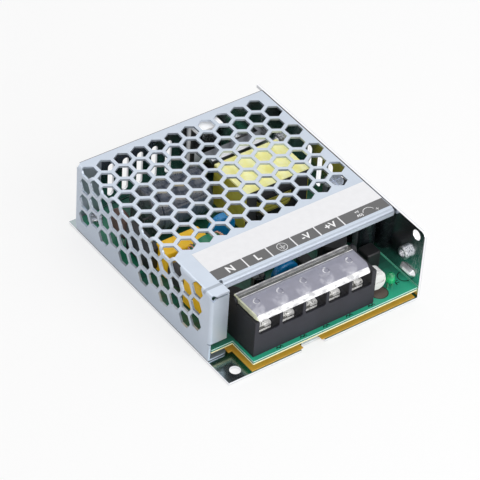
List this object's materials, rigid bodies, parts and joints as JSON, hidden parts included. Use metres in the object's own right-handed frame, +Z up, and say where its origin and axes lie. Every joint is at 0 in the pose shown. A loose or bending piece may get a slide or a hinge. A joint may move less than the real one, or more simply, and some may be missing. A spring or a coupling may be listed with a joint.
{
  "type": "switching power supply",
  "caption": "Enclosed power supply module: perforated folded cover on an open chassis, screw terminals under a clear hinged lid, voltage trimmer and pilot lamp.",
  "frame": {"origin": "centre of the underside of the overall box, on the face that lies on a panel", "axes": "+X along the terminals to the tall side wall, +Y from the terminals to the back wall, +Z up from the base to the perforated cover"},
  "size_m": [0.082, 0.099, 0.0301],
  "materials": {
    "chassis": "satin sheet",
    "cover": "zinc plated sheet",
    "terminal_label": "printed film",
    "cover_screws": "black zinc",
    "board_screws": "bright",
    "mounting_nuts": "bright",
    "insulating_film": "amber film",
    "circuit_board": "green solder mask",
    "terminal_block": "moulded, fine texture",
    "terminal_lid": "clear",
    "terminal_plates": "nickel plated",
    "terminal_clamps": "bright",
    "terminal_screws": "bright",
    "trimmer_body": "moulded",
    "trimmer_rotor": "moulded",
    "indicator_led": "translucent",
    "fuse": "moulded",
    "input_film_capacitor": "moulded box",
    "filter_film_capacitor": "moulded box",
    "choke_core": "coated ferrite",
    "choke_windings": "enamelled copper wire",
    "choke_base": "moulded",
    "bridge_rectifier": "moulded",
    "thermistor": "coated disc",
    "varistor": "coated disc",
    "disc_capacitors": "coated disc",
    "bulk_capacitor": "shrunk sleeve",
    "transformer_core": "sintered ferrite",
    "transformer_bobbin": "moulded",
    "transformer_coil": "taped winding",
    "transformer_tape": "polyester tape",
    "transformer_pins": "tinned",
    "transistor_pad": "insulating pad",
    "switching_transistor": "moulded",
    "output_heatsink": "plain sheet",
    "output_rectifier": "moulded",
    "package_screws": "bright",
    "output_capacitors": "shrunk sleeve",
    "small_capacitors": "shrunk sleeve",
    "moulded_choke": "moulded",
    "inductor_core": "sintered ferrite",
    "inductor_winding": "enamelled copper wire",
    "controller_chip": "moulded",
    "optocoupler": "moulded",
    "resistors": "lacquered",
    "diodes": "moulded"
  },
  "bodies": {
    "housing": {"chassis": "chassis", "cover": "cover", "terminal_label": "terminal_label", "cover_screws": "cover_screws", "board_screws": "board_screws", "mounting_nuts": "mounting_nuts", "insulating_film": "insulating_film", "circuit_board": "circuit_board", "terminal_block": "terminal_block", "terminal_plates": "terminal_plates", "terminal_clamps": "terminal_clamps", "terminal_screws": "terminal_screws", "trimmer_body": "trimmer_body", "indicator_led": "indicator_led", "fuse": "fuse", "input_film_capacitor": "input_film_capacitor", "filter_film_capacitor": "filter_film_capacitor", "choke_core": "choke_core", "choke_windings": "choke_windings", "choke_base": "choke_base", "bridge_rectifier": "bridge_rectifier", "thermistor": "thermistor", "varistor": "varistor", "disc_capacitors": "disc_capacitors", "bulk_capacitor": "bulk_capacitor", "transformer_core": "transformer_core", "transformer_bobbin": "transformer_bobbin", "transformer_coil": "transformer_coil", "transformer_tape": "transformer_tape", "transformer_pins": "transformer_pins", "transistor_pad": "transistor_pad", "switching_transistor": "switching_transistor", "output_heatsink": "output_heatsink", "output_rectifier": "output_rectifier", "package_screws": "package_screws", "output_capacitors": "output_capacitors", "small_capacitors": "small_capacitors", "moulded_choke": "moulded_choke", "inductor_core": "inductor_core", "inductor_winding": "inductor_winding", "controller_chip": "controller_chip", "optocoupler": "optocoupler", "resistors": "resistors", "diodes": "diodes"},
    "lid": {"terminal_lid": "terminal_lid"},
    "trimmer_dial": {"trimmer_rotor": "trimmer_rotor"}
  },
  "joints": [
    {"name": "lid_hinge", "type": "hinge", "parent": "housing", "child": "lid", "pos_m": [-0.0042, -0.0344, 0.0212], "axis": [-1, 0, 0], "range_deg": [0, 84]},
    {"name": "trimmer_turn", "type": "hinge", "parent": "housing", "child": "trimmer_dial", "pos_m": [0.02557, -0.044, 0.011], "axis": [0, -1, 0], "range_deg": [-105, 105]}
  ]
}
